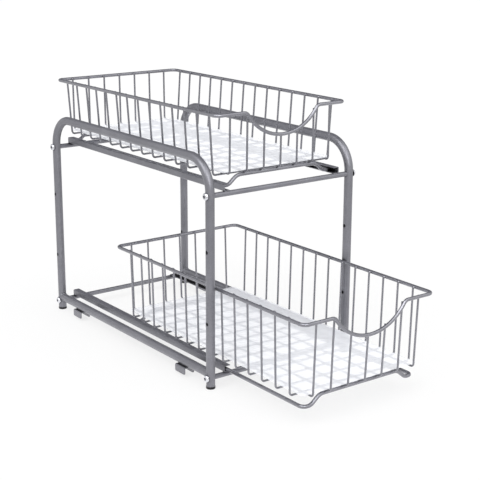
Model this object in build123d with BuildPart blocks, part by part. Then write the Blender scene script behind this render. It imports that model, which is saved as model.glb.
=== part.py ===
from build123d import *
import os
from dataclasses import dataclass
from math import acos, cos, sin, sqrt

# A two-tier sliding organizer for a cupboard floor. Two bent tube hoops stand left and right.
# Bolted crossbars join them and carry channel rails. In each pair of rails a wire basket slides
# on a wire runner, the upper one above the hoops and the lower one between their legs.
# X runs across with the right side positive, Y from front to rear, and Z up from the floor.
# The origin is under the middle of the outline, with the lower basket part of the way out.

# Hoops: each is one tube, up the front leg, along the top and down the rear leg
leg_spacing_width = 246.0
leg_spacing_depth = 430.0
tube_diameter = 12.7
tube_wall = 1.0
hoop_axis_height = 322.0
hoop_bend_radius = 44.0

# Bores through the legs: one row for each crossbar and two spare rows between them
leg_bore_diameter = 5.4
lower_spare_height = 95.0
upper_spare_height = 197.0

# Side tubes, welded between the legs near the floor
side_tube_height = 21.0

# Stacking clips, inverted channels under the side tubes that drop over the hoops of a unit below
clip_inset = 65.0
clip_length = 24.5
clip_gap = 14.0
clip_sheet = 1.2
clip_bend_radius = 1.0
clip_bottom_height = 4.0
clip_corner_radius = 2.5

# Foot caps, closed plugs in the ends of the legs
foot_diameter = 13.3
foot_height = 3.5
foot_edge_radius = 0.8
foot_stem_length = 7.5
foot_stem_diameter = 8.2
foot_fin_count = 3
foot_fin_height = 1.0
foot_fin_clearance = 0.1

# Crossbars, round rods tapped at both ends
crossbar_diameter = 7.4
lower_bar_height = 15.5
upper_bar_below_bend = 3.5
tapped_depth = 14.0

# Bolts, from outside through the legs into the crossbars
bolt_diameter = 5.0
bolt_grip = 11.0
bolt_head_diameter = 10.5
bolt_head_height = 3.2
bolt_head_rounding = 2.4
bolt_tip_chamfer = 0.5
bolt_socket_width = 4.0
bolt_socket_depth = 1.8
thread_clearance = 0.05

# Rails, bent sheet channels that lie on the crossbars and open towards the middle
rail_inset = 21.5
rail_width = 10.0
rail_height = 9.3
rail_sheet = 1.0
rail_bend_radius = 0.6
rail_front_overhang = 2.5
rail_rear_overhang = 0.5

# Runners, closed wire loops whose sides slide in the rails and whose ends carry the basket
runner_diameter = 5.5
runner_side_clearance = 0.45
runner_lift = 0.3
runner_rise = 12.4
runner_rise_setback = 7.5
runner_rise_run = 15.0
runner_foot_radius = 12.0
runner_brow_radius = 18.0
runner_corner_radius = 8.0

# Baskets: a rim, U-shaped wires across and lengthwise, and a loose floor liner
rim_diameter = 5.1
rim_corner_radius = 9.0
scoop_depth = 35.0
scoop_floor_radius = 72.0
scoop_shoulder_radius = 8.5
wire_diameter = 2.9
wire_bend_radius = 4.5
wire_end_rise = 0.6
cross_wire_count = 14
long_wire_count = 7
liner_sheet = 1.0
liner_clearance = 0.5
liner_corner_radius = 6.0

# Upper basket: rim rise over the crossbar axis, rim size, lean of the walls, and its runner's place
upper_rim_rise = 105.9
upper_rim_width = 223.0
upper_rim_length = 438.5
upper_side_lean = 6.0
upper_end_lean = 1.0
upper_cross_wire_pitch = 30.1
upper_long_wire_pitch = 29.0
upper_runner_front_setback = 12.5
upper_runner_rear_setback = 14.5

# Lower basket: the same sizes, and how far it stands out of the frame
lower_rim_rise = 127.8
lower_rim_width = 226.0
lower_rim_length = 452.0
lower_side_lean = 2.5
lower_end_lean = 4.0
lower_cross_wire_pitch = 29.5
lower_long_wire_pitch = 29.8
lower_runner_front_setback = 18.5
lower_runner_rear_setback = 22.0
lower_basket_out = 188.0

# Clearances: between welded pieces, and between clamped pieces and the round tube
weld_gap = 0.05
seat_gap = 0.1

# Radii and half widths that several pieces share
tube_radius = tube_diameter / 2
tube_bore_radius = tube_radius - tube_wall
crossbar_radius = crossbar_diameter / 2
bolt_radius = bolt_diameter / 2
runner_radius = runner_diameter / 2
rim_radius = rim_diameter / 2
wire_radius = wire_diameter / 2
leg_x = leg_spacing_width / 2

# The upper bolts sit in the straight legs, just under the bends
upper_bar_height = hoop_axis_height - hoop_bend_radius - upper_bar_below_bend

# Each basket's front run stands over the front legs when it is home. So the outline's front is
# the drawn-out lower basket's rim, and its rear is the upper basket's rim
front_reach = -lower_basket_out - rim_radius
rear_reach = upper_rim_length + rim_radius
front_leg_y = -(front_reach + rear_reach) / 2
rear_leg_y = front_leg_y + leg_spacing_depth

sides = {"left": -1, "right": 1}
rows = {"front": front_leg_y, "rear": rear_leg_y}
bar_heights = {"upper": upper_bar_height, "lower": lower_bar_height}

os.makedirs("parts", exist_ok=True)

# Hoops, with bores along X through both walls of each leg
for side, sign in sides.items():
    hoop_start = (sign * leg_x, front_leg_y, foot_height)
    with BuildPart() as hoop:
        with BuildLine() as hoop_route:
            FilletPolyline(
                hoop_start,
                (sign * leg_x, front_leg_y, hoop_axis_height),
                (sign * leg_x, rear_leg_y, hoop_axis_height),
                (sign * leg_x, rear_leg_y, foot_height),
                radius=hoop_bend_radius,
            )
        with BuildSketch(Plane(hoop_start, z_dir=(0, 0, 1))):
            Circle(tube_radius)
            Circle(tube_bore_radius, mode=Mode.SUBTRACT)
        sweep()
        with BuildSketch(Plane.YZ.offset(sign * leg_x)):
            for height in (lower_bar_height, lower_spare_height, upper_spare_height, upper_bar_height):
                with Locations((front_leg_y, height), (rear_leg_y, height)):
                    Circle(leg_bore_diameter / 2)
        extrude(amount=tube_diameter, both=True, mode=Mode.SUBTRACT)
    hoop.part.label = f"{side}_hoop"
    export_step(hoop.part, f"parts/{side}_hoop.step")

# Foot caps, with a flange under the tube's end and a finned stem inside it
for side, sign in sides.items():
    for row, leg_y in rows.items():
        with BuildPart() as foot:
            with BuildSketch(Plane((sign * leg_x, leg_y, 0))):
                Circle(foot_diameter / 2)
            extrude(amount=foot_height)
            fillet(foot.edges().sort_by(Axis.Z)[0], radius=foot_edge_radius)
            with BuildSketch(Plane((sign * leg_x, leg_y, foot_height))):
                Circle(foot_stem_diameter / 2)
            extrude(amount=foot_stem_length)
            for fin in range(foot_fin_count):
                fin_top = foot_height + foot_stem_length * (fin + 1) / foot_fin_count
                with BuildSketch(Plane((sign * leg_x, leg_y, fin_top))):
                    Circle(tube_bore_radius - foot_fin_clearance)
                extrude(amount=-foot_fin_height)
        foot.part.label = f"{side}_{row}_foot"
        export_step(foot.part, f"parts/{side}_{row}_foot.step")

# Side tubes, coped to the legs at both ends
for side, sign in sides.items():
    with BuildPart() as side_tube:
        with BuildSketch(Plane((sign * leg_x, front_leg_y, side_tube_height), z_dir=(0, 1, 0))):
            Circle(tube_radius)
            Circle(tube_bore_radius, mode=Mode.SUBTRACT)
        extrude(amount=leg_spacing_depth)
        with BuildSketch(Plane.XY):
            with Locations((sign * leg_x, front_leg_y), (sign * leg_x, rear_leg_y)):
                Circle(tube_radius + weld_gap)
        extrude(amount=hoop_axis_height, mode=Mode.SUBTRACT)
    side_tube.part.label = f"{side}_side_tube"
    export_step(side_tube.part, f"parts/{side}_side_tube.step")

# Stacking clips, bent from strip, welded under the side tubes with their flanges down
clip_top = side_tube_height - tube_radius - weld_gap
clip_flange_x = clip_gap / 2 + clip_sheet
for side, sign in sides.items():
    for row, leg_y in rows.items():
        inward = 1 if row == "front" else -1
        clip_start_y = leg_y + inward * clip_inset - clip_length / 2
        with BuildPart() as clip:
            with BuildSketch(Plane((sign * leg_x, clip_start_y, 0), x_dir=(-1, 0, 0), z_dir=(0, 1, 0))):
                with BuildLine():
                    FilletPolyline(
                        (-clip_flange_x, clip_bottom_height),
                        (-clip_flange_x, clip_top),
                        (clip_flange_x, clip_top),
                        (clip_flange_x, clip_bottom_height),
                        radius=clip_bend_radius + clip_sheet,
                    )
                    offset(amount=clip_sheet, side=Side.RIGHT)
                make_face()
            extrude(amount=clip_length)
            flange_corners = clip.edges().filter_by(Axis.X).group_by(Axis.Z)[0]
            fillet(flange_corners, radius=clip_corner_radius)
        clip.part.label = f"{side}_{row}_clip"
        export_step(clip.part, f"parts/{side}_{row}_clip.step")

# Crossbars, coped to the legs and tapped along X at both ends
tapped_reach = tube_radius + tapped_depth
for tier, bar_height in bar_heights.items():
    for row, leg_y in rows.items():
        with BuildPart() as crossbar:
            with BuildSketch(Plane.YZ.offset(-leg_x)):
                with Locations((leg_y, bar_height)):
                    Circle(crossbar_radius)
            extrude(amount=leg_spacing_width)
            with BuildSketch(Plane.XY):
                with Locations((-leg_x, leg_y), (leg_x, leg_y)):
                    Circle(tube_radius + seat_gap)
            extrude(amount=hoop_axis_height, mode=Mode.SUBTRACT)
            for sign in sides.values():
                with BuildSketch(Plane.YZ.offset(sign * leg_x)):
                    with Locations((leg_y, bar_height)):
                        Circle(bolt_radius + thread_clearance)
                extrude(amount=-sign * tapped_reach, mode=Mode.SUBTRACT)
        crossbar.part.label = f"{tier}_{row}_crossbar"
        export_step(crossbar.part, f"parts/{tier}_{row}_crossbar.step")

# One bolt along X with its head on the left, rounded and socketed
bolt_seat_x = -tube_radius - seat_gap
bolt_shank_length = tube_radius + bolt_grip - bolt_seat_x
with BuildPart() as bolt:
    with BuildSketch(Plane.YZ.offset(bolt_seat_x)):
        Circle(bolt_head_diameter / 2)
    extrude(amount=-bolt_head_height)
    fillet(bolt.edges().sort_by(Axis.X)[0], radius=bolt_head_rounding)
    with BuildSketch(Plane.YZ.offset(bolt_seat_x)):
        Circle(bolt_radius)
    extrude(amount=bolt_shank_length)
    chamfer(bolt.edges().sort_by(Axis.X)[-1], length=bolt_tip_chamfer)
    with BuildSketch(Plane.YZ.offset(bolt_seat_x - bolt_head_height)):
        RegularPolygon(bolt_socket_width / 2, side_count=6, major_radius=False)
    extrude(amount=bolt_socket_depth, mode=Mode.SUBTRACT)

for tier, bar_height in bar_heights.items():
    with BuildPart() as bolts:
        for leg_y in rows.values():
            left_seat = Location((-leg_x, leg_y, bar_height))
            right_seat = Location((leg_x, leg_y, bar_height), (0, 0, 180))
            with Locations(left_seat, right_seat):
                add(bolt.part)
    bolts.part.label = f"{tier}_bolts"
    export_step(bolts.part, f"parts/{tier}_bolts.step")

# Rails, with the web outside and both flanges towards the middle
rail_length = rail_front_overhang + leg_spacing_depth + rail_rear_overhang
for tier, bar_height in bar_heights.items():
    rail_bottom = bar_height + crossbar_radius
    for side, sign in sides.items():
        rail_corner = (sign * (leg_x - rail_inset), front_leg_y - rail_front_overhang, rail_bottom)
        inner_side = Side.LEFT if sign < 0 else Side.RIGHT
        with BuildPart() as rail:
            with BuildSketch(Plane(rail_corner, x_dir=(-1, 0, 0), z_dir=(0, 1, 0))):
                with BuildLine():
                    FilletPolyline(
                        (sign * rail_width, 0),
                        (0, 0),
                        (0, rail_height),
                        (sign * rail_width, rail_height),
                        radius=rail_bend_radius + rail_sheet,
                    )
                    offset(amount=rail_sheet, side=inner_side)
                make_face()
            extrude(amount=rail_length)
        rail.part.label = f"{tier}_{side}_rail"
        export_step(rail.part, f"parts/{tier}_{side}_rail.step")

# The scoop in each rim's front run: one wide arc from the middle, and a small one up to each shoulder
scoop_radii = scoop_floor_radius + scoop_shoulder_radius
scoop_turn = acos((scoop_radii - scoop_depth) / scoop_radii)
scoop_shoulder_x = scoop_radii * sin(scoop_turn)
scoop_join_x = scoop_floor_radius * sin(scoop_turn)
scoop_join_lift = scoop_floor_radius - scoop_floor_radius * cos(scoop_turn)


def scoop_lift(distance):
    """Height of the rim's axis over the scoop's floor, at a distance from the basket's middle."""
    if distance <= scoop_join_x:
        return scoop_floor_radius - sqrt(scoop_floor_radius**2 - distance**2)
    if distance <= scoop_shoulder_x:
        drop = scoop_shoulder_radius - sqrt(scoop_shoulder_radius**2 - (scoop_shoulder_x - distance) ** 2)
        return scoop_depth - drop
    return scoop_depth


@dataclass
class Tier:
    """What differs between the two baskets."""

    bar_height: float
    drawn_out: float
    rim_rise: float
    rim_width: float
    rim_length: float
    side_lean: float
    end_lean: float
    cross_wire_pitch: float
    long_wire_pitch: float
    runner_front_setback: float
    runner_rear_setback: float


tiers = {
    "upper": Tier(
        bar_height=upper_bar_height,
        drawn_out=0,
        rim_rise=upper_rim_rise,
        rim_width=upper_rim_width,
        rim_length=upper_rim_length,
        side_lean=upper_side_lean,
        end_lean=upper_end_lean,
        cross_wire_pitch=upper_cross_wire_pitch,
        long_wire_pitch=upper_long_wire_pitch,
        runner_front_setback=upper_runner_front_setback,
        runner_rear_setback=upper_runner_rear_setback,
    ),
    "lower": Tier(
        bar_height=lower_bar_height,
        drawn_out=lower_basket_out,
        rim_rise=lower_rim_rise,
        rim_width=lower_rim_width,
        rim_length=lower_rim_length,
        side_lean=lower_side_lean,
        end_lean=lower_end_lean,
        cross_wire_pitch=lower_cross_wire_pitch,
        long_wire_pitch=lower_long_wire_pitch,
        runner_front_setback=lower_runner_front_setback,
        runner_rear_setback=lower_runner_rear_setback,
    ),
}

# Baskets, each on its runner
for name, tier in tiers.items():
    rim_x = tier.rim_width / 2
    rim_height = tier.bar_height + tier.rim_rise
    rim_front_y = front_leg_y - tier.drawn_out
    rim_rear_y = rim_front_y + tier.rim_length
    rim_mid_y = rim_front_y + tier.rim_length / 2

    # Half of the rim from the middle of the rear run to the middle of the scoop, then mirrored
    scoop_shoulder = (-scoop_shoulder_x, rim_front_y, rim_height)
    scoop_join = (-scoop_join_x, rim_front_y, rim_height - scoop_depth + scoop_join_lift)
    with BuildPart() as rim:
        with BuildLine() as rim_route:
            FilletPolyline(
                (0, rim_rear_y, rim_height),
                (-rim_x, rim_rear_y, rim_height),
                (-rim_x, rim_front_y, rim_height),
                scoop_shoulder,
                radius=rim_corner_radius,
            )
            TangentArc(scoop_shoulder, scoop_join, tangent=(1, 0, 0))
            TangentArc(
                scoop_join,
                (0, rim_front_y, rim_height - scoop_depth),
                tangent=(-1, 0, 0),
                tangent_from_first=False,
            )
        with BuildSketch(Plane((0, rim_rear_y, rim_height), z_dir=(-1, 0, 0))):
            Circle(rim_radius)
        sweep()
        mirror(about=Plane.YZ)
    rim.part.label = f"{name}_rim"
    export_step(rim.part, f"parts/{name}_rim.step")

    # Half of the runner: its side lies in the rail, and its ends rise clear of the flanges
    runner_x = leg_x - rail_inset - rail_sheet - runner_side_clearance - runner_radius
    rise_foot_x = leg_x - rail_inset - rail_width - runner_rise_setback
    rise_brow_x = rise_foot_x - runner_rise_run
    runner_low_z = tier.bar_height + crossbar_radius + rail_sheet + runner_lift + runner_radius
    runner_high_z = runner_low_z + runner_rise
    runner_front_y = rim_front_y + tier.runner_front_setback
    runner_rear_y = rim_rear_y - tier.runner_rear_setback
    with BuildPart() as runner:
        with BuildLine() as runner_route:
            FilletPolyline(
                (0, runner_rear_y, runner_high_z),
                (-rise_brow_x, runner_rear_y, runner_high_z),
                (-rise_foot_x, runner_rear_y, runner_low_z),
                (-runner_x, runner_rear_y, runner_low_z),
                (-runner_x, runner_front_y, runner_low_z),
                (-rise_foot_x, runner_front_y, runner_low_z),
                (-rise_brow_x, runner_front_y, runner_high_z),
                (0, runner_front_y, runner_high_z),
                radius=[
                    runner_brow_radius,
                    runner_foot_radius,
                    runner_corner_radius,
                    runner_corner_radius,
                    runner_foot_radius,
                    runner_brow_radius,
                ],
            )
        with BuildSketch(Plane((0, runner_rear_y, runner_high_z), z_dir=(-1, 0, 0))):
            Circle(runner_radius)
        sweep()
        mirror(about=Plane.YZ)
    runner.part.label = f"{name}_runner"
    export_step(runner.part, f"parts/{name}_runner.step")

    # Lengthwise wires rest on the runner's raised ends, and the cross wires pass under them
    wire_inset = rim_radius + wire_radius + weld_gap
    long_wire_z = runner_high_z + runner_radius + wire_radius + weld_gap
    cross_wire_z = long_wire_z - wire_diameter - weld_gap
    wire_top_z = rim_height + wire_end_rise
    side_top_x = rim_x - wire_inset
    side_foot_x = side_top_x - tier.side_lean
    front_top_y = rim_front_y + wire_inset
    front_foot_y = front_top_y + tier.end_lean
    rear_top_y = rim_rear_y - wire_inset
    rear_foot_y = rear_top_y - tier.end_lean

    with BuildPart() as cross_wires:
        for index in range(cross_wire_count):
            wire_y = rim_mid_y + (index - (cross_wire_count - 1) / 2) * tier.cross_wire_pitch
            with BuildLine() as cross_route:
                FilletPolyline(
                    (-side_top_x, wire_y, wire_top_z),
                    (-side_foot_x, wire_y, cross_wire_z),
                    (side_foot_x, wire_y, cross_wire_z),
                    (side_top_x, wire_y, wire_top_z),
                    radius=wire_bend_radius,
                )
            with BuildSketch(Plane(cross_route.line @ 0, z_dir=cross_route.line % 0)):
                Circle(wire_radius)
            sweep()
    cross_wires.part.label = f"{name}_cross_wires"
    export_step(cross_wires.part, f"parts/{name}_cross_wires.step")

    # Each lengthwise wire ends at the rim, so the front ones follow the scoop's curve
    with BuildPart() as long_wires:
        for index in range(long_wire_count):
            wire_x = (index - (long_wire_count - 1) / 2) * tier.long_wire_pitch
            front_top_z = wire_top_z - scoop_depth + scoop_lift(abs(wire_x))
            with BuildLine() as long_route:
                FilletPolyline(
                    (wire_x, front_top_y, front_top_z),
                    (wire_x, front_foot_y, long_wire_z),
                    (wire_x, rear_foot_y, long_wire_z),
                    (wire_x, rear_top_y, wire_top_z),
                    radius=wire_bend_radius,
                )
            with BuildSketch(Plane(long_route.line @ 0, z_dir=long_route.line % 0)):
                Circle(wire_radius)
            sweep()
    long_wires.part.label = f"{name}_long_wires"
    export_step(long_wires.part, f"parts/{name}_long_wires.step")

    # Liner, a loose plastic sheet on the lengthwise wires, inside the bends of both sets
    liner_x = side_foot_x - wire_bend_radius - liner_clearance
    liner_length = rear_foot_y - front_foot_y - (wire_bend_radius + liner_clearance) * 2
    with BuildPart() as liner:
        with BuildSketch(Plane((0, rim_mid_y, long_wire_z + wire_radius + weld_gap))):
            RectangleRounded(liner_x * 2, liner_length, liner_corner_radius)
        extrude(amount=liner_sheet)
    liner.part.label = f"{name}_liner"
    export_step(liner.part, f"parts/{name}_liner.step")
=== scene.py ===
"""Under sink organizer: finishes, welds, liners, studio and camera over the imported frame."""

import logging
import math
from dataclasses import dataclass
from enum import Enum, IntEnum
from typing import Any, Callable, Iterable

import bmesh
import bpy
from mathutils import Matrix, Vector


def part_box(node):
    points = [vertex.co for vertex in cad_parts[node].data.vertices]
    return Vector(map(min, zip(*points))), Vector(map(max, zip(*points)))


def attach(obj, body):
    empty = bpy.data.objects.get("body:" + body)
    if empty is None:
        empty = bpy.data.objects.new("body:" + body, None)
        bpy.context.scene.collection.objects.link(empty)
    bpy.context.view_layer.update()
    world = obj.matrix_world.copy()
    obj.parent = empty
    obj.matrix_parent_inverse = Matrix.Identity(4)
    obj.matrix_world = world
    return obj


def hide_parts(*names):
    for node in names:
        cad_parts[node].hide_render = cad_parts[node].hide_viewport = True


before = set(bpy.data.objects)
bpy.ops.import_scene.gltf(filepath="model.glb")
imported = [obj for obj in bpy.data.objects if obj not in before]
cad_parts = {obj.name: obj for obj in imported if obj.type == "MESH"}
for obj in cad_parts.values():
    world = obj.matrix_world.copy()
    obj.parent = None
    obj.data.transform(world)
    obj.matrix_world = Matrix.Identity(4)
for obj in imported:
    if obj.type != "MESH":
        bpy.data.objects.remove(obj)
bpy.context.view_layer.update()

MM = 0.001
UP = Vector((0, 0, 1))
LOG = logging.getLogger("organizer")
Triple = tuple[float, float, float]

# Sockets of a Mix node that mixes colours

MIX_SHARE = 0
MIX_FIRST = 6
MIX_SECOND = 7
MIX_RESULT = 2


class Tier(Enum):
    """The two levels of the organizer."""

    UPPER = "upper"
    LOWER = "lower"


class Side(Enum):
    """The two sides of the frame, seen from the front."""

    LEFT = "left"
    RIGHT = "right"


class End(Enum):
    """The two ends of the frame."""

    FRONT = "front"
    REAR = "rear"


class Axis(IntEnum):
    """The level axes, by their place in a point: x runs from left to right, y from front to rear."""

    X = 0
    Y = 1


class Slot(Enum):
    """Names of three material slots, which nothing in this script uses."""

    FRAME_PAINT = "frame_paint"
    BASKET_PAINT = "basket_paint"
    LINER = "liner_plastic"


# Small tools for nodes and meshes


def linear(hex_colour: str) -> tuple[float, float, float, float]:
    """Turns an sRGB hex colour into linear light.

    Args:
        hex_colour: six hex digits, such as "85858D".

    Returns:
        Red, green, blue and an alpha of 1.
    """
    channels = [int(hex_colour[start:start + 2], 16) / 255 for start in (0, 2, 4)]
    red, green, blue = (c / 12.92 if c <= 0.04045 else ((c + 0.055) / 1.055) ** 2.4 for c in channels)
    return red, green, blue, 1.0


def add_node(
    tree: bpy.types.NodeTree, kind: str, settings: dict[str, Any], inputs: dict[Any, Any]
) -> bpy.types.Node:
    """Adds one shader node.

    Args:
        tree: the node tree that takes the node.
        kind: the node's type, such as "ShaderNodeTexNoise".
        settings: the node's own properties.
        inputs: values or sockets for its inputs, by name or number.

    Returns:
        The new node.
    """
    node = tree.nodes.new(kind)
    for name, value in settings.items():
        setattr(node, name, value)
    for key, value in inputs.items():
        if isinstance(value, bpy.types.NodeSocket):
            tree.links.new(value, node.inputs[key])
        else:
            node.inputs[key].default_value = value
    return node


def new_material(name: str) -> tuple[bpy.types.Material, bpy.types.NodeTree]:
    """Makes an empty node material.

    Args:
        name: the material's name.

    Returns:
        The material and its node tree.
    """
    material = bpy.data.materials.new(name)
    material.use_nodes = True
    material.node_tree.nodes.clear()
    return material, material.node_tree


def to_output(tree: bpy.types.NodeTree, shader: bpy.types.NodeSocket) -> None:
    """Links a shader to the material's output."""
    add_node(tree, "ShaderNodeOutputMaterial", {}, {"Surface": shader})


def deselect() -> None:
    """Leaves edit mode if need be and deselects every object."""
    if bpy.context.mode != "OBJECT":
        bpy.ops.object.mode_set(mode="OBJECT")
    bpy.ops.object.select_all(action="DESELECT")


def activate(piece: bpy.types.Object) -> None:
    """Makes a piece the only selected and the active object.

    Args:
        piece: the object.
    """
    deselect()
    piece.select_set(True)
    bpy.context.view_layer.objects.active = piece


def select_verts(piece: bpy.types.Object, test: Callable[[Vector], bool]) -> None:
    """Selects in edit mode the vertices that pass a test, and no others.

    Args:
        piece: the object that is in edit mode.
        test: tells from a vertex's place whether it is selected.
    """
    bpy.ops.mesh.select_mode(type="VERT")
    bpy.ops.mesh.select_all(action="DESELECT")
    mesh = bmesh.from_edit_mesh(piece.data)
    for vert in mesh.verts:
        vert.select = test(vert.co)
    mesh.select_flush_mode()
    bmesh.update_edit_mesh(piece.data)


def apply_modifier(piece: bpy.types.Object, kind: str, settings: dict[str, Any]) -> None:
    """Adds a modifier to a piece and applies it.

    Args:
        piece: the object, whose mesh changes.
        kind: the modifier's type.
        settings: the modifier's properties.
    """
    activate(piece)
    modifier = piece.modifiers.new(kind.lower(), kind)
    for name, value in settings.items():
        setattr(modifier, name, value)
    bpy.ops.object.modifier_apply(modifier=modifier.name)


def copied(model: bpy.types.Object, places: Iterable[Matrix]) -> list[bpy.types.Object]:
    """Copies a modelled piece, each copy with its own mesh.

    Args:
        model: the piece that was modelled once, about the origin.
        places: where each copy stands.

    Returns:
        The copies.
    """
    copies = []
    for place in places:
        copy = model.copy()
        copy.data = model.data.copy()
        copy.data.transform(place)
        bpy.context.collection.objects.link(copy)
        copies.append(copy)
    return copies


def joined(pieces: list[bpy.types.Object], name: str) -> bpy.types.Object:
    """Joins pieces into one object.

    Args:
        pieces: the objects, at least one.
        name: the name of the result.

    Returns:
        The one object, at the origin.
    """
    deselect()
    for piece in pieces:
        piece.select_set(True)
    bpy.context.view_layer.objects.active = pieces[0]
    if len(pieces) > 1:
        bpy.ops.object.join()
    whole = bpy.context.view_layer.objects.active
    whole.name = name
    whole.data.name = name
    bpy.ops.object.transform_apply(location=True, rotation=True, scale=True)
    return whole


def paint(piece: bpy.types.Object, material: bpy.types.Material) -> None:
    """Puts one material on all of a piece.

    Args:
        piece: the object.
        material: the material that it gets.
    """
    if piece.material_slots:
        for place in piece.material_slots:
            place.material = material
    else:
        piece.data.materials.append(material)


def paint_nodes(names: Iterable[str], material: bpy.types.Material) -> None:
    """Gives CAD nodes their finish.

    Args:
        names: the names of the nodes.
        material: the finish's material.
    """
    for name in names:
        paint(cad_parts[name], material)
        LOG.info("dressed %s in %s", name, material.name)


def settle(piece: bpy.types.Object, body: str, material: bpy.types.Material) -> None:
    """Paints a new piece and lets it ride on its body.

    Args:
        piece: the finished piece.
        body: the body that it moves with.
        material: its material.
    """
    paint(piece, material)
    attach(piece, body)
    LOG.info("added %s on %s, %d faces", piece.name, body, len(piece.data.polygons))


def facing(point: Vector, up: Vector, along: Vector) -> Matrix:
    """Works out a place from a point and two directions.

    Args:
        point: the place's origin.
        up: where its z axis points.
        along: roughly where its x axis points.

    Returns:
        The place as a matrix.
    """
    z_axis = up.normalized()
    y_axis = z_axis.cross(along).normalized()
    x_axis = y_axis.cross(z_axis)
    turn = Matrix((x_axis, y_axis, z_axis)).transposed()
    return Matrix.Translation(point) @ turn.to_4x4()


# Finishes


@dataclass(frozen=True)
class PowderCoat:
    """Polyester powder coat with aluminium flake, sprayed on and baked.

    It gives the eye a satin silver-grey with a soft highlight, a fine sparkle and a faint orange peel.
    Where other surfaces lie close, in bores, channels and joints, its colour is darkened towards nearly black:
    painted shade.
    """

    name: str
    light: str
    dark: str
    metallic: float
    smooth: float
    rough: float
    # painted shade: the colour that the coat darkens to where other surfaces lie close
    painted_shade: str = "1C1C20"
    painted_shade_reach: float = 9 * MM   # how far round a spot other surfaces darken it, as painted shade
    painted_shade_closed: float = 0.42
    painted_shade_open: float = 0.78
    painted_shade_samples: int = 8
    cloud_size: float = 40 * MM
    cloud_detail: float = 3.0
    cloud_low: float = 0.35
    cloud_high: float = 0.65
    flake_size: float = 0.9 * MM   # the real flake is 0.05 mm and wouldn't show
    flake_share: float = 0.3
    peel_size: float = 2.6 * MM
    peel_detail: float = 1.0
    peel_height: float = 0.02 * MM
    peel_strength: float = 0.3

    def material(self) -> bpy.types.Material:
        """Builds the node material.

        Returns:
            The material, under the finish's name.
        """
        material, tree = new_material(self.name)
        place = add_node(tree, "ShaderNodeTexCoord", {}, {}).outputs["Object"]
        cloud = add_node(
            tree, "ShaderNodeTexNoise", {},
            {"Vector": place, "Scale": 1 / self.cloud_size, "Detail": self.cloud_detail})
        flake = add_node(
            tree, "ShaderNodeTexVoronoi", {"feature": "F1"}, {"Vector": place, "Scale": 1 / self.flake_size})
        spark = add_node(tree, "ShaderNodeSeparateColor", {}, {"Color": flake.outputs["Color"]})
        shade = add_node(
            tree, "ShaderNodeMath", {"operation": "MULTIPLY_ADD"},
            {0: spark.outputs["Red"], 1: self.flake_share, 2: cloud.outputs["Fac"]})
        tone = add_node(
            tree, "ShaderNodeMapRange", {},
            {"Value": shade.outputs[0], "From Min": self.cloud_low,
             "From Max": self.cloud_high + self.flake_share})
        colour = add_node(
            tree, "ShaderNodeMix", {"data_type": "RGBA"},
            {MIX_SHARE: tone.outputs[0], MIX_FIRST: linear(self.dark), MIX_SECOND: linear(self.light)})
        # painted shade: ambient occlusion darkens the colour towards nearly black near other surfaces
        painted_shade_ao = add_node(
            tree, "ShaderNodeAmbientOcclusion", {"samples": self.painted_shade_samples},
            {"Distance": self.painted_shade_reach})
        painted_shade_mask = add_node(
            tree, "ShaderNodeMapRange", {},
            {"Value": painted_shade_ao.outputs["AO"], "From Min": self.painted_shade_closed, "From Max": self.painted_shade_open})
        colour_with_painted_shade = add_node(
            tree, "ShaderNodeMix", {"data_type": "RGBA"},
            {MIX_SHARE: painted_shade_mask.outputs[0], MIX_FIRST: linear(self.painted_shade),
             MIX_SECOND: colour.outputs[MIX_RESULT]})
        gloss = add_node(
            tree, "ShaderNodeMapRange", {},
            {"Value": spark.outputs["Green"], "To Min": self.smooth, "To Max": self.rough})
        peel = add_node(
            tree, "ShaderNodeTexNoise", {},
            {"Vector": place, "Scale": 1 / self.peel_size, "Detail": self.peel_detail})
        bump = add_node(
            tree, "ShaderNodeBump", {},
            {"Strength": self.peel_strength, "Distance": self.peel_height, "Height": peel.outputs["Fac"]})
        shader = add_node(
            tree, "ShaderNodeBsdfPrincipled", {},
            {"Base Color": colour_with_painted_shade.outputs[MIX_RESULT], "Metallic": self.metallic,
             "Roughness": gloss.outputs[0], "Normal": bump.outputs[0]})
        to_output(tree, shader.outputs[0])
        return material


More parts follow.
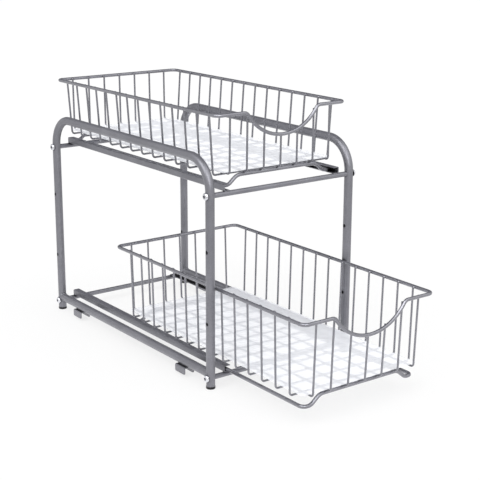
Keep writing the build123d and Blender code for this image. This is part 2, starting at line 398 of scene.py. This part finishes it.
@dataclass(frozen=True)
class PlatedSteel:
    """Cold-headed steel under bright nickel and chromium plate.

    It gives the eye sharp reflections, slightly broken by fine turning marks and handling scratches. Its colour
    is darkened in the socket and in close corners: painted shade.
    """

    name: str = "chromium_plated_steel"
    light: str = "C6C7CC"
    # painted shade: the colour that the socket and close corners darken to
    dark: str = "3C3C41"
    smooth: float = 0.08
    rough: float = 0.22
    mark_size: float = 0.8 * MM
    mark_stretch: Triple = (4.0, 1.0, 1.0)   # thin along x, so that the marks run round the bolts' heads
    mark_detail: float = 2.0
    mark_low: float = 0.3
    mark_high: float = 0.7
    mark_height: float = 0.01 * MM
    mark_strength: float = 0.3
    painted_socket_shade_reach: float = 2.5 * MM
    painted_socket_shade_closed: float = 0.45
    painted_socket_shade_open: float = 0.85
    painted_socket_shade_samples: int = 8

    def material(self) -> bpy.types.Material:
        """Builds the node material.

        Returns:
            The material, under the finish's name.
        """
        material, tree = new_material(self.name)
        place = add_node(tree, "ShaderNodeTexCoord", {}, {}).outputs["Object"]
        # painted shade: ambient occlusion darkens the socket and close corners towards the dark colour
        painted_shade_ao = add_node(
            tree, "ShaderNodeAmbientOcclusion", {"samples": self.painted_socket_shade_samples},
            {"Distance": self.painted_socket_shade_reach})
        painted_socket_shade_mask = add_node(
            tree, "ShaderNodeMapRange", {},
            {"Value": painted_shade_ao.outputs["AO"], "From Min": self.painted_socket_shade_closed, "From Max": self.painted_socket_shade_open})
        colour = add_node(
            tree, "ShaderNodeMix", {"data_type": "RGBA"},
            {MIX_SHARE: painted_socket_shade_mask.outputs[0], MIX_FIRST: linear(self.dark), MIX_SECOND: linear(self.light)})
        thin = add_node(tree, "ShaderNodeMapping", {}, {"Vector": place, "Scale": self.mark_stretch})
        marks = add_node(
            tree, "ShaderNodeTexNoise", {},
            {"Vector": thin.outputs[0], "Scale": 1 / self.mark_size, "Detail": self.mark_detail})
        gloss = add_node(
            tree, "ShaderNodeMapRange", {},
            {"Value": marks.outputs["Fac"], "From Min": self.mark_low, "From Max": self.mark_high,
             "To Min": self.smooth, "To Max": self.rough})
        bump = add_node(
            tree, "ShaderNodeBump", {},
            {"Strength": self.mark_strength, "Distance": self.mark_height, "Height": marks.outputs["Fac"]})
        shader = add_node(
            tree, "ShaderNodeBsdfPrincipled", {},
            {"Base Color": colour.outputs[MIX_RESULT], "Metallic": 1.0, "Roughness": gloss.outputs[0],
             "Normal": bump.outputs[0]})
        to_output(tree, shader.outputs[0])
        return material


@dataclass(frozen=True)
class MouldedPolyethylene:
    """Black low-density polyethylene, injection moulded in a spark-eroded tool.

    It gives the eye a deep, slightly waxy black with a fine even grain and a broad dull highlight.
    """

    name: str = "black_moulded_polyethylene"
    light: str = "17171A"
    dark: str = "0B0B0D"
    smooth: float = 0.38
    rough: float = 0.55
    refraction: float = 1.51
    sheen: float = 0.3
    grain_size: float = 0.9 * MM   # the real grain is 0.1 mm and wouldn't show
    grain_detail: float = 3.0
    grain_roughness: float = 0.6
    grain_height: float = 0.04 * MM
    grain_strength: float = 0.5

    def material(self) -> bpy.types.Material:
        """Builds the node material.

        Returns:
            The material, under the finish's name.
        """
        material, tree = new_material(self.name)
        place = add_node(tree, "ShaderNodeTexCoord", {}, {}).outputs["Object"]
        grain = add_node(
            tree, "ShaderNodeTexNoise", {},
            {"Vector": place, "Scale": 1 / self.grain_size, "Detail": self.grain_detail,
             "Roughness": self.grain_roughness})
        colour = add_node(
            tree, "ShaderNodeMix", {"data_type": "RGBA"},
            {MIX_SHARE: grain.outputs["Fac"], MIX_FIRST: linear(self.dark), MIX_SECOND: linear(self.light)})
        gloss = add_node(
            tree, "ShaderNodeMapRange", {},
            {"Value": grain.outputs["Fac"], "To Min": self.smooth, "To Max": self.rough})
        bump = add_node(
            tree, "ShaderNodeBump", {},
            {"Strength": self.grain_strength, "Distance": self.grain_height, "Height": grain.outputs["Fac"]})
        shader = add_node(
            tree, "ShaderNodeBsdfPrincipled", {},
            {"Base Color": colour.outputs[MIX_RESULT], "Roughness": gloss.outputs[0], "IOR": self.refraction,
             "Specular IOR Level": self.sheen, "Normal": bump.outputs[0]})
        to_output(tree, shader.outputs[0])
        return material


@dataclass(frozen=True)
class FrostedSheet:
    """Extruded polyethylene sheet with a frosted, finely embossed face.

    It gives the eye a milky white through which the wires below show as a faint grey grid.
    """

    name: str = "frosted_polyethylene_sheet"
    light: str = "F4F5F8"
    dark: str = "EAECF1"
    alpha: float = 0.46   # of each face, so the sheet hides 7/10 of what is below it
    smooth: float = 0.34
    rough: float = 0.5
    refraction: float = 1.5
    cloud_size: float = 55 * MM
    cloud_detail: float = 2.0
    emboss_size: float = 1.8 * MM   # the real embossing is 0.6 mm and wouldn't show
    emboss_height: float = 0.05 * MM
    emboss_strength: float = 0.4

    def material(self) -> bpy.types.Material:
        """Builds the node material.

        Returns:
            The material, under the finish's name.
        """
        material, tree = new_material(self.name)
        place = add_node(tree, "ShaderNodeTexCoord", {}, {}).outputs["Object"]
        cloud = add_node(
            tree, "ShaderNodeTexNoise", {},
            {"Vector": place, "Scale": 1 / self.cloud_size, "Detail": self.cloud_detail})
        colour = add_node(
            tree, "ShaderNodeMix", {"data_type": "RGBA"},
            {MIX_SHARE: cloud.outputs["Fac"], MIX_FIRST: linear(self.dark), MIX_SECOND: linear(self.light)})
        emboss = add_node(
            tree, "ShaderNodeTexVoronoi", {"feature": "SMOOTH_F1"},
            {"Vector": place, "Scale": 1 / self.emboss_size})
        gloss = add_node(
            tree, "ShaderNodeMapRange", {},
            {"Value": emboss.outputs["Distance"], "To Min": self.smooth, "To Max": self.rough})
        bump = add_node(
            tree, "ShaderNodeBump", {},
            {"Strength": self.emboss_strength, "Distance": self.emboss_height,
             "Height": emboss.outputs["Distance"]})
        shader = add_node(
            tree, "ShaderNodeBsdfPrincipled", {},
            {"Base Color": colour.outputs[MIX_RESULT], "Roughness": gloss.outputs[0], "IOR": self.refraction,
             "Alpha": self.alpha, "Normal": bump.outputs[0]})
        to_output(tree, shader.outputs[0])
        return material


# Parts of the organizer


@dataclass(frozen=True)
class WeldSpot:
    """One flattened puddle of weld metal, modelled once and laid wherever two parts are joined.

    A puddle is fuller at its foot than a sphere is: vertices within foot_share of its height from its middle
    are drawn out by foot_swell.
    """

    length: float
    width: float
    height: float
    segments: int = 8
    rings: int = 6
    foot_share: float = 0.3
    foot_swell: float = 1.12

    def model(self) -> bpy.types.Object:
        """Models the puddle about the origin, its length along x and its height along z.

        Returns:
            The modelled puddle.
        """
        deselect()
        bpy.ops.mesh.primitive_uv_sphere_add(segments=self.segments, ring_count=self.rings, radius=0.5)
        spot = bpy.context.active_object
        bpy.ops.object.mode_set(mode="EDIT")
        bpy.ops.mesh.select_all(action="SELECT")
        bpy.ops.transform.resize(value=(self.length, self.width, self.height))
        select_verts(spot, lambda place: abs(place.z) < self.height * self.foot_share)
        bpy.ops.transform.resize(value=(self.foot_swell, self.foot_swell, 1.0))
        bpy.ops.object.mode_set(mode="OBJECT")
        bpy.ops.object.shade_smooth()
        return spot

    def laid(self, places: Iterable[Matrix], name: str) -> bpy.types.Object:
        """Lays copies of the puddle and joins them.

        Args:
            places: where each puddle lies.
            name: the name of the joined piece.

        Returns:
            The joined piece.
        """
        spot = self.model()
        copies = copied(spot, places)
        bpy.data.objects.remove(spot)
        return joined(copies, name)


@dataclass
class Stand:
    """The bolted frame: hoops, side tubes, clips, feet, crossbars, rails and bolts.

    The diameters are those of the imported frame. A weld's shares give its puddle's length, width and height as
    shares of the bead.
    """

    coat: bpy.types.Material
    plating: bpy.types.Material
    plastic: bpy.types.Material
    body: str = "frame"
    tube_diameter: float = 12.7 * MM
    bar_diameter: float = 7.4 * MM
    bead: float = 2.6 * MM
    seam_shares: Triple = (1.3, 1.0, 0.8)
    seam_spots: int = 26
    seam_lean: float = 0.8
    clip_weld_shares: Triple = (1.2, 0.9, 0.8)
    clip_weld_spots: int = 9
    clip_weld_reach: float = 0.46        # of the tube's radius, from its middle to the clip's edge
    clip_weld_lift: float = 0.08         # of the tube's radius, above its lowest line
    clip_weld_lean: float = 0.6          # downwards
    rail_weld_cover: float = 0.8         # of the rail's width
    rail_weld_width: float = 0.8         # of the bead
    rail_weld_height: float = 0.5        # of the bead
    rail_weld_reach: float = 0.27        # of the crossbar's diameter, from its middle
    rail_weld_drop: float = 0.3 * MM     # below the rail's floor
    rail_weld_segments: int = 12
    rail_weld_rings: int = 8

    def dress(self) -> None:
        """Gives every part of the frame its finish."""
        painted = [f"{side.value}_{part}" for side in Side for part in ("hoop", "side_tube")]
        painted += [f"{side.value}_{end.value}_clip" for side in Side for end in End]
        painted += [f"{tier.value}_{end.value}_crossbar" for tier in Tier for end in End]
        painted += [f"{tier.value}_{side.value}_rail" for tier in Tier for side in Side]
        paint_nodes(painted, self.coat)
        paint_nodes([f"{tier.value}_bolts" for tier in Tier], self.plating)
        paint_nodes([f"{side.value}_{end.value}_foot" for side in Side for end in End], self.plastic)

    def spot(self, shares: Triple) -> WeldSpot:
        """Sizes a puddle from its shares of the bead."""
        return WeldSpot(*(self.bead * share for share in shares))

    def seam(self, middle: Triple, inward: int) -> list[Matrix]:
        """Works out one seam, which runs round a side tube's end as it saddles a leg of the same diameter.

        Args:
            middle: where the axes of the side tube and the leg cross.
            inward: the sign of y from the leg to the side tube's middle.

        Returns:
            The places of the seam's puddles.
        """
        x, y, z = middle
        radius = self.tube_diameter / 2
        places = []
        for step in range(self.seam_spots):
            turn = 2 * math.pi * step / self.seam_spots
            across = math.cos(turn)
            rise = math.sin(turn)
            point = Vector((x + radius * across, y + inward * radius * abs(rise), z + radius * rise))
            up = Vector((across, inward * self.seam_lean * abs(rise), rise))
            places.append(facing(point, up, Vector((-rise, inward * abs(across), across))))
        return places

    def side_tube_welds(self) -> None:
        """Lays a weld seam round each end of both side tubes."""
        radius = self.tube_diameter / 2
        for side in Side:
            low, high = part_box(f"{side.value}_side_tube")
            hoop_low, hoop_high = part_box(f"{side.value}_hoop")
            x = (low[0] + high[0]) / 2
            z = (low[2] + high[2]) / 2
            places = self.seam((x, hoop_low[1] + radius, z), 1) + self.seam((x, hoop_high[1] - radius, z), -1)
            welds = self.spot(self.seam_shares).laid(places, f"{side.value}_side_tube_welds")
            settle(welds, self.body, self.coat)

    def clip_welds(self) -> None:
        """Lays a run of weld along both sides of each clip, where it meets the side tube."""
        radius = self.tube_diameter / 2
        for side in Side:
            low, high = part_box(f"{side.value}_side_tube")
            middle_x = (low[0] + high[0]) / 2
            places = []
            for end in End:
                clip_low, clip_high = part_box(f"{side.value}_{end.value}_clip")
                start = clip_low[1] + self.bead
                stop = clip_high[1] - self.bead
                for edge in (-1, 1):
                    up = Vector((edge, 0, -self.clip_weld_lean))
                    for step in range(self.clip_weld_spots):
                        point = Vector((middle_x + edge * radius * self.clip_weld_reach,
                                        start + (stop - start) * step / (self.clip_weld_spots - 1),
                                        low[2] + radius * self.clip_weld_lift))
                        places.append(facing(point, up, Vector((0, 1, 0))))
            welds = self.spot(self.clip_weld_shares).laid(places, f"{side.value}_clip_welds")
            settle(welds, self.body, self.coat)

    def rail_welds(self) -> None:
        """Lays a short fillet in front of and behind each crossbar, under the rails."""
        for tier in Tier:
            places = []
            for side in Side:
                low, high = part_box(f"{tier.value}_{side.value}_rail")
                length = (high[0] - low[0]) * self.rail_weld_cover
                middle_x = (low[0] + high[0]) / 2
                for end in End:
                    bar_low, bar_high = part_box(f"{tier.value}_{end.value}_crossbar")
                    bar_y = (bar_low[1] + bar_high[1]) / 2
                    for face in (-1, 1):
                        point = Vector((middle_x, bar_y + face * self.bar_diameter * self.rail_weld_reach,
                                        low[2] - self.rail_weld_drop))
                        places.append(facing(point, Vector((0, face, -1)), Vector((1, 0, 0))))
            spot = WeldSpot(length, self.bead * self.rail_weld_width, self.bead * self.rail_weld_height,
                            self.rail_weld_segments, self.rail_weld_rings)
            welds = spot.laid(places, f"{tier.value}_rail_welds")
            settle(welds, self.body, self.coat)

    def build(self) -> None:
        """Dresses the frame and adds its welds."""
        self.dress()
        self.side_tube_welds()
        self.clip_welds()
        self.rail_welds()


@dataclass(frozen=True)
class WireRow:
    """One of a basket's nodes that hold a row of U-shaped wires, with the axis along which they follow."""

    part: str
    axis: Axis
    count: int


@dataclass
class Basket:
    """One sliding wire basket with its runner and the liner on its floor.

    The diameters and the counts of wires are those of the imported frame. A weld's shares give its puddle's
    length, width and height as shares of the wire's diameter.
    """

    tier: Tier
    coat: bpy.types.Material
    sheet: bpy.types.Material
    wire_diameter: float = 2.9 * MM
    runner_diameter: float = 5.5 * MM
    cross_wires: WireRow = WireRow("cross_wires", Axis.Y, 14)
    long_wires: WireRow = WireRow("long_wires", Axis.X, 7)
    cut_share: float = 0.12        # of the wire's diameter: how deep its cut end is looked for
    joint_shares: Triple = (1.5, 1.35, 0.8)
    tip_rise: float = 0.6 * MM     # from a joint up to its wire's highest corner
    front_drop: float = 2.2 * MM   # the same at the front, where the wires are cut to the scoop's curve
    cap_shares: Triple = (1.25, 1.15, 0.7)
    cap_segments: int = 12
    cap_rings: int = 8
    cap_rise: float = 0.25 * MM
    cap_reach: float = 0.15        # of the wire's diameter, outwards
    cap_lean: float = 0.8          # inwards, away from the rim
    crossing_shares: Triple = (1.1, 1.1, 0.5)
    crossing_rings: int = 4
    liner_turn: float = 0.0        # degrees that the loose sheet lies askew
    liner_sag: float = 0.35 * MM
    liner_corner: float = 6 * MM
    liner_corner_cuts: int = 5
    liner_cuts: int = 4            # from one wire to the next
    liner_margin: float = 1 * MM   # round the sheet, left uncut
    liner_edge_share: float = 0.3  # of the sheet's thickness
    liner_edge_cuts: int = 2
    liner_crease: float = 40       # degrees, past which an edge stays sharp

    @property
    def body(self) -> str:
        """The body that the basket's pieces ride on."""
        return f"{self.tier.value}_basket"

    def node(self, part: str) -> str:
        """The name of one of the basket's CAD nodes or new pieces."""
        return f"{self.tier.value}_{part}"

    def dress(self) -> None:
        """Gives the basket's wires their finish."""
        parts = ("rim", "runner", self.cross_wires.part, self.long_wires.part)
        paint_nodes([self.node(part) for part in parts], self.coat)

    def rows(self, wires: WireRow) -> list[float]:
        """Works out where a row's wires stand along its axis.

        Args:
            wires: the row.

        Returns:
            The wires' places, in order.
        """
        low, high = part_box(self.node(wires.part))
        first = low[wires.axis] + self.wire_diameter / 2
        last = high[wires.axis] - self.wire_diameter / 2
        return [first + (last - first) * index / (wires.count - 1) for index in range(wires.count)]

    def tips(self, wires: WireRow) -> list[tuple[Vector, Vector]]:
        """Finds the upper ends of a row's U-shaped wires.

        Args:
            wires: the row.

        Returns:
            For each end, its middle and the direction from the basket's middle outwards.
        """
        along = wires.axis
        other = Axis(1 - along)
        corners = [vert.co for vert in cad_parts[self.node(wires.part)].data.vertices]
        middle = (min(c[other] for c in corners) + max(c[other] for c in corners)) / 2
        found = []
        for row in self.rows(wires):
            wire = [c for c in corners if abs(c[along] - row) < self.wire_diameter]
            for way in (-1, 1):
                half = [c for c in wire if (c[other] - middle) * way > 0]
                top = max(c.z for c in half)
                end = [c for c in half if c.z > top - self.wire_diameter * self.cut_share]
                outward = Vector((0, 0, 0))
                outward[other] = way
                found.append((sum(end, Vector()) / len(end), outward))
        return found

    def spot(self, shares: Triple, segments: int = 8, rings: int = 6) -> WeldSpot:
        """Sizes a puddle from its shares of the wire's diameter."""
        return WeldSpot(*(self.wire_diameter * share for share in shares), segments, rings)

    def rim_welds(self, ends: list[tuple[Vector, Vector]]) -> None:
        """Fuses the end of each wire to the rim.

        Args:
            ends: the wires' upper ends, each with its direction outwards.
        """
        places = []
        for point, outward in ends:
            drop = self.front_drop if outward.y < 0 else self.tip_rise
            touch = point + outward * self.wire_diameter / 2 - Vector((0, 0, drop))
            places.append(facing(touch, outward, outward.cross(UP)))
        welds = self.spot(self.joint_shares).laid(places, self.node("rim_welds"))
        settle(welds, self.body, self.coat)

    def wire_tips(self, ends: list[tuple[Vector, Vector]]) -> None:
        """Rounds the wires' cut ends with weld metal.

        The front run is left out. The rim hides its ends, and caps would stand clear of the scoop's slopes.

        Args:
            ends: the wires' upper ends, each with its direction outwards.
        """
        lift = Vector((0, 0, self.cap_rise))
        places = []
        for point, outward in ends:
            if outward.y >= 0:
                cap = point + outward * self.wire_diameter * self.cap_reach + lift
                places.append(facing(cap, UP - outward * self.cap_lean, outward))
        spot = self.spot(self.cap_shares, self.cap_segments, self.cap_rings)
        settle(spot.laid(places, self.node("wire_tips")), self.body, self.coat)

    def floor_welds(self) -> None:
        """Fuses each crossing of the floor's wires, and the runner to the wires that lie on it."""
        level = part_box(self.node(self.long_wires.part))[0][2]
        columns = self.rows(self.long_wires)
        places = [Matrix.Translation((x, y, level)) for x in columns for y in self.rows(self.cross_wires)]
        low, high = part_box(self.node("runner"))
        for y in (low[1] + self.runner_diameter / 2, high[1] - self.runner_diameter / 2):
            places += [Matrix.Translation((x, y, level)) for x in columns[1:-1]]
        spot = self.spot(self.crossing_shares, rings=self.crossing_rings)
        settle(spot.laid(places, self.node("floor_welds")), self.body, self.coat)

    def liner_outline(self, low: Vector, high: Vector) -> bpy.types.Object:
        """Cuts the liner's flat outline, with round corners, at the height of its upper face.

        Args:
            low: the lower corner of the CAD liner's box.
            high: its upper corner.

        Returns:
            The flat sheet.
        """
        deselect()
        size = high - low
        middle = (low + high) / 2
        bpy.ops.mesh.primitive_plane_add(size=1, location=(middle.x, middle.y, high.z))
        sheet = bpy.context.active_object
        bpy.ops.object.mode_set(mode="EDIT")
        bpy.ops.mesh.select_all(action="SELECT")
        bpy.ops.transform.resize(value=(size.x, size.y, 1))
        bpy.ops.mesh.bevel(offset=self.liner_corner, segments=self.liner_corner_cuts, affect="VERTICES")
        bpy.ops.object.mode_set(mode="OBJECT")
        bpy.ops.object.transform_apply(location=True, rotation=True, scale=True)
        return sheet

    def sag(self, sheet: bpy.types.Object, low: Vector, high: Vector) -> None:
        """Cuts the flat sheet into fine cells and lets it sink between the lengthwise wires that it lies on.

        Args:
            sheet: the flat sheet.
            low: the lower corner of the CAD liner's box.
            high: its upper corner.
        """
        activate(sheet)
        bpy.ops.object.mode_set(mode="EDIT")
        for wires in (self.cross_wires, self.long_wires):
            rows = self.rows(wires)
            pitch = rows[1] - rows[0]
            steps = range(self.liner_cuts)
            cuts = sorted(row + pitch * step / self.liner_cuts for row in rows for step in steps)
            across = Vector((0, 0, 0))
            across[wires.axis] = 1
            for cut in cuts:
                if low[wires.axis] + self.liner_margin < cut < high[wires.axis] - self.liner_margin:
                    bpy.ops.mesh.select_all(action="SELECT")
                    bpy.ops.mesh.bisect(plane_co=across * cut, plane_no=across)
        columns = self.rows(self.long_wires)
        mesh = bmesh.from_edit_mesh(sheet.data)
        for vert in mesh.verts:
            phase = math.pi * (vert.co.x - columns[0]) / (columns[1] - columns[0])
            vert.co.z -= self.liner_sag * math.sin(phase) ** 2
        bmesh.update_edit_mesh(sheet.data)
        bpy.ops.object.mode_set(mode="OBJECT")

    def liner(self) -> None:
        """Models the loose liner: a thin sheet with round corners, a soft edge and a slight sag."""
        low, high = (Vector(corner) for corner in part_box(self.node("liner")))
        middle = (low + high) / 2
        thickness = (high - low).z
        sheet = self.liner_outline(low, high)
        self.sag(sheet, low, high)
        apply_modifier(sheet, "SOLIDIFY", {"thickness": thickness, "offset": -1.0})
        edge = {"width": thickness * self.liner_edge_share, "segments": self.liner_edge_cuts}
        apply_modifier(sheet, "BEVEL", {**edge, "limit_method": "ANGLE"})
        turn = Matrix.Rotation(math.radians(self.liner_turn), 4, "Z")
        sheet.data.transform(Matrix.Translation(middle) @ turn @ Matrix.Translation(-middle))
        activate(sheet)
        bpy.ops.object.shade_smooth_by_angle(angle=math.radians(self.liner_crease))
        sheet = joined([sheet], self.node("liner_sheet"))
        sheet.visible_shadow = False   # light passes through so thin a sheet, so it darkens nothing below it
        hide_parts(self.node("liner"))
        settle(sheet, self.body, self.sheet)

    def build(self) -> None:
        """Dresses the basket, welds it and lays its liner."""
        self.dress()
        ends = self.tips(self.cross_wires) + self.tips(self.long_wires)
        self.rim_welds(ends)
        self.wire_tips(ends)
        self.floor_welds()
        self.liner()


# Studio and camera


@dataclass(frozen=True)
class Lamp:
    """One distant lamp, which lights all of the floor alike.

    Its azimuth is in degrees from the front, positive to the right. Its elevation and its spread, which is
    how wide it looks from the object, are in degrees too, and its strength is in watts per square metre.
    """

    name: str
    azimuth: float
    elevation: float
    spread: float
    strength: float

    def hang(self) -> None:
        """Adds the lamp to the scene."""
        data = bpy.data.lights.new(self.name, "SUN")
        data.angle = math.radians(self.spread)
        data.energy = self.strength
        lamp = bpy.data.objects.new(self.name, data)
        turn = math.radians(self.azimuth)
        rise = math.radians(self.elevation)
        away = Vector((math.sin(turn) * math.cos(rise), -math.cos(turn) * math.cos(rise), math.sin(rise)))
        lamp.rotation_euler = away.to_track_quat("Z", "Y").to_euler()
        bpy.context.collection.objects.link(lamp)


@dataclass(frozen=True)
class Card:
    """A glowing card that only reflections see: a grey flag, a bright softbox or the lit floor close by.

    Its place, its width and height and the point that it faces are in metres.
    """

    name: str
    place: Triple
    size: tuple[float, float]
    shade: str
    strength: float = 1.0
    aim: Triple = (0, 0, 0.19)

    def hang(self) -> None:
        """Adds the card to the studio."""
        deselect()
        turn = (Vector(self.aim) - Vector(self.place)).to_track_quat("Z", "Y").to_euler()
        bpy.ops.mesh.primitive_plane_add(size=1, location=self.place, rotation=turn)
        card = bpy.context.active_object
        card.name = self.name
        card.scale = (*self.size, 1)
        material, tree = new_material(self.name + "_cloth")
        cloth = add_node(
            tree, "ShaderNodeEmission", {}, {"Color": linear(self.shade), "Strength": self.strength})
        to_output(tree, cloth.outputs[0])
        paint(card, material)
        card.visible_camera = False
        card.visible_diffuse = False
        card.visible_shadow = False
        card.visible_transmission = False


@dataclass
class Studio:
    """A white floor in a white surround, with three soft lamps and four cards for the metal to reflect."""

    floor_size: float = 30.0
    white: str = "FFFFFF"
    paper: str = "F0F0F0"        # what the floor throws back at the object
    shade: str = "707070"        # what takes the shadow where the floor is seen
    lift: float = 0.77           # the glow that brings the floor up to white where it is seen
    surround: float = 0.6        # the surround's strength as light
    lamps: tuple[Lamp, ...] = (
        Lamp("key_lamp", azimuth=-80, elevation=48, spread=42, strength=1.35),
        Lamp("fill_lamp", azimuth=25, elevation=35, spread=70, strength=0.6),
        Lamp("top_lamp", azimuth=-20, elevation=75, spread=90, strength=1.6),
    )
    cards: tuple[Card, ...] = (
        Card("flag_behind", place=(1.2, 1.6, 0.9), size=(4.0, 2.2), shade="8A8A92"),
        Card("flag_above", place=(0.5, 0.7, 2.2), size=(2.6, 2.6), shade="90909A"),
        Card("near_floor", place=(0, 0, 0.3 * MM), size=(1.0, 1.2), shade="FFFFFF", strength=1.4),
        Card("softbox_front", place=(-0.58, -1.39, 1.02), size=(0.8, 0.8), shade="FFFFFF", strength=6.0),
    )

    def seen_directly(self, tree: bpy.types.NodeTree) -> bpy.types.NodeSocket:
        """Tells rays that look at a surface from rays that carry its light on.

        Args:
            tree: the node tree that takes the nodes.

        Returns:
            A socket that is 1 for camera, mirror and see-through rays, and 0 for the rest.
        """
        path = add_node(tree, "ShaderNodeLightPath", {}, {})
        mirror = add_node(
            tree, "ShaderNodeMath", {"operation": "MAXIMUM"},
            {0: path.outputs["Is Camera Ray"], 1: path.outputs["Is Glossy Ray"]})
        clear = add_node(
            tree, "ShaderNodeMath", {"operation": "MAXIMUM"},
            {0: mirror.outputs[0], 1: path.outputs["Is Transmission Ray"]})
        return clear.outputs[0]

    def world(self) -> None:
        """Makes the surround: plain light for the object, white for what looks at it."""
        world = bpy.data.worlds.new("surround")
        bpy.context.scene.world = world
        world.use_nodes = True
        tree = world.node_tree
        tree.nodes.clear()
        strength = add_node(
            tree, "ShaderNodeMapRange", {},
            {"Value": self.seen_directly(tree), "To Min": self.surround, "To Max": 1.0})
        light = add_node(
            tree, "ShaderNodeBackground", {}, {"Color": linear(self.white), "Strength": strength.outputs[0]})
        add_node(tree, "ShaderNodeOutputWorld", {}, {"Surface": light.outputs[0]})

    def floor(self) -> None:
        """Lays the floor, white to the camera but for the object's shadow."""
        deselect()
        bpy.ops.mesh.primitive_plane_add(size=self.floor_size, location=(0, 0, 0))
        floor = bpy.context.active_object
        floor.name = "studio_floor"
        material, tree = new_material("matt_white_paper")
        paper = add_node(tree, "ShaderNodeBsdfDiffuse", {}, {"Color": linear(self.paper)})
        shade = add_node(tree, "ShaderNodeBsdfDiffuse", {}, {"Color": linear(self.shade)})
        glow = add_node(
            tree, "ShaderNodeEmission", {}, {"Color": linear(self.white), "Strength": self.lift})
        seen = add_node(tree, "ShaderNodeAddShader", {}, {0: shade.outputs[0], 1: glow.outputs[0]})
        both = add_node(
            tree, "ShaderNodeMixShader", {},
            {0: self.seen_directly(tree), 1: paper.outputs[0], 2: seen.outputs[0]})
        to_output(tree, both.outputs[0])
        paint(floor, material)

    def build(self) -> None:
        """Sets up the surround, the floor, the lamps and the cards."""
        self.world()
        self.floor()
        for lamp in self.lamps:
            lamp.hang()
        for card in self.cards:
            card.hang()
        bpy.context.scene.view_settings.view_transform = "Standard"
        LOG.info("studio ready")


@dataclass
class PhotoCamera:
    """The camera at the photograph's angle, placed by the foot of the left front leg.

    Its angles in degrees, its focal length in pixels and foot_seen, in millimetres, were solved from points
    and straight lines of the photograph. The foot lies to the right of the view's middle, above it and away
    from the camera by foot_seen. The sensor is in millimetres and the clipping distances are in metres.
    """

    azimuth: float = -36.5665
    elevation: float = 15.3606
    roll: float = 0.1605
    focal_pixels: float = 1178.96
    image_pixels: float = 480.0
    sensor: float = 36.0
    foot_seen: Triple = (-40.75, -206.30, 1642.22)
    clip_near: float = 0.05
    clip_far: float = 50.0

    def build(self) -> None:
        """Places the camera and makes it the scene's."""
        azimuth, elevation, roll = (math.radians(a) for a in (self.azimuth, self.elevation, self.roll))
        back = Vector((math.sin(azimuth) * math.cos(elevation), -math.cos(azimuth) * math.cos(elevation),
                       math.sin(elevation)))
        level = (-back).cross(UP).normalized()
        upright = level.cross(-back)
        right = level * math.cos(roll) + upright * math.sin(roll)
        up = upright * math.cos(roll) - level * math.sin(roll)
        foot_low, foot_high = (Vector(corner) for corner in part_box("left_front_foot"))
        foot = Vector(((foot_low.x + foot_high.x) / 2, (foot_low.y + foot_high.y) / 2, foot_low.z))
        across, rise, away = self.foot_seen
        place = foot - (right * across + up * rise - back * away) * MM
        data = bpy.data.cameras.new("photo_camera")
        data.sensor_width = self.sensor
        data.lens = self.focal_pixels / self.image_pixels * self.sensor
        data.clip_start = self.clip_near
        data.clip_end = self.clip_far
        camera = bpy.data.objects.new("photo_camera", data)
        turn = Matrix((right, up, back)).transposed()
        camera.matrix_world = Matrix.Translation(place) @ turn.to_4x4()
        bpy.context.collection.objects.link(camera)
        bpy.context.scene.camera = camera
        LOG.info("camera at %s", tuple(round(value, 3) for value in place))


def main() -> None:
    """Builds the organizer's dressing, the studio and the camera."""
    logging.basicConfig(level=logging.INFO, format="%(name)s: %(message)s")
    tube_coat = PowderCoat(
        "powder_coat_on_tube", light="7C7C82", dark="6B6B71", metallic=0.6, smooth=0.34, rough=0.44)
    # the wire coat's painted shade reaches only 1 mm round each spot
    wire_coat = PowderCoat(
        "powder_coat_on_wire", light="85858B", dark="737379", metallic=0.75, smooth=0.18, rough=0.26,
        painted_shade_reach=1 * MM)
    tube = tube_coat.material()
    wire = wire_coat.material()
    Stand(tube, PlatedSteel().material(), MouldedPolyethylene().material()).build()
    sheet = FrostedSheet().material()
    Basket(Tier.UPPER, wire, sheet, liner_turn=0.5).build()
    Basket(Tier.LOWER, wire, sheet).build()
    Studio().build()
    PhotoCamera().build()


if __name__ == "__main__":
    main()
